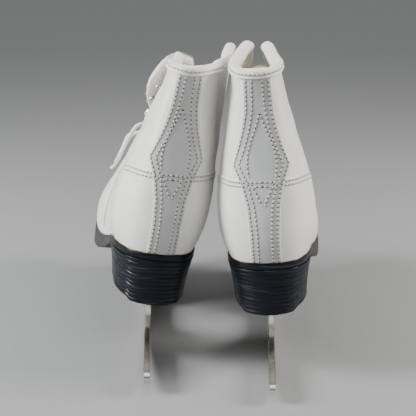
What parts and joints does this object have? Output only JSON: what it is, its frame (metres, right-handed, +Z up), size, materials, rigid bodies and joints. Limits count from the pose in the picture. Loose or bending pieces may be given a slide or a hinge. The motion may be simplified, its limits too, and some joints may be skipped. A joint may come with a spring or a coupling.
{
  "type": "pair of figure skates",
  "caption": "Pair of white leather figure skates with heeled black soles, felt tongues, tied laces and nickel blades with toe picks, one leaning against the other.",
  "frame": {"origin": "middle of the pair's box at the floor the blades stand on, measured without the free loops and ends of the laces", "axes": "+Z up, +Y from the heels towards the toes, +X towards the right skate"},
  "size_m": [0.166, 0.2335, 0.2029],
  "materials": {
    "white_leather": "semi-gloss coated white leather",
    "collar_fabric": "cream padded binding",
    "lining_fabric": "brushed lining",
    "tongue_felt": "thick cream felt",
    "fibreboard": "pressed board",
    "sole_rubber": "satin",
    "heel_rubber": "gloss black, grooved",
    "nickel_steel": "polished nickel",
    "lace_cotton": "woven cotton"
  },
  "bodies": {
    "left_skate": {"left_outsole": "sole_rubber", "left_heel_block": "heel_rubber", "left_insole_board": "fibreboard", "left_insole": "lining_fabric", "left_vamp": "white_leather", "left_quarter_lateral": "white_leather", "left_quarter_medial": "white_leather", "left_backstay": "white_leather", "left_heel_counter": "fibreboard", "left_lining": "lining_fabric", "left_collar_binding": "collar_fabric", "left_eyestay_lateral": "white_leather", "left_eyestay_medial": "white_leather", "left_tongue": "tongue_felt", "left_runner": "nickel_steel", "left_sole_plate": "nickel_steel", "left_heel_plate": "nickel_steel", "left_sole_plate_screw_1": "nickel_steel", "left_sole_plate_screw_2": "nickel_steel", "left_sole_plate_screw_3": "nickel_steel", "left_sole_plate_screw_4": "nickel_steel", "left_heel_plate_screw_1": "nickel_steel", "left_heel_plate_screw_2": "nickel_steel", "left_laces": "lace_cotton", "left_lace_knot": "lace_cotton", "left_lace_loop_a": "lace_cotton", "left_lace_loop_b": "lace_cotton", "left_lace_end_a": "lace_cotton", "left_lace_end_b": "lace_cotton"},
    "right_skate": {"right_outsole": "sole_rubber", "right_heel_block": "heel_rubber", "right_insole_board": "fibreboard", "right_insole": "lining_fabric", "right_vamp": "white_leather", "right_quarter_lateral": "white_leather", "right_quarter_medial": "white_leather", "right_backstay": "white_leather", "right_heel_counter": "fibreboard", "right_lining": "lining_fabric", "right_collar_binding": "collar_fabric", "right_eyestay_lateral": "white_leather", "right_eyestay_medial": "white_leather", "right_runner": "nickel_steel", "right_sole_plate": "nickel_steel", "right_heel_plate": "nickel_steel", "right_sole_plate_screw_1": "nickel_steel", "right_sole_plate_screw_2": "nickel_steel", "right_sole_plate_screw_3": "nickel_steel", "right_sole_plate_screw_4": "nickel_steel", "right_heel_plate_screw_1": "nickel_steel", "right_heel_plate_screw_2": "nickel_steel", "right_laces": "lace_cotton", "right_lace_knot": "lace_cotton", "right_lace_loop_a": "lace_cotton", "right_lace_loop_b": "lace_cotton", "right_lace_end_a": "lace_cotton", "right_lace_end_b": "lace_cotton"},
    "right_tongue": {"right_tongue": "tongue_felt"}
  },
  "joints": [
    {"name": "right_skate_apart", "type": "slide", "parent": "left_skate", "child": "right_skate", "axis": [1, 0, 0], "range_m": [0, 0.2]},
    {"name": "right_tongue_fold", "type": "hinge", "parent": "right_skate", "child": "right_tongue", "pos_m": [0.04908, 0.02175, 0.1001], "axis": [0.991, -0.1182, 0.0628], "range_deg": [0, 18]}
  ]
}
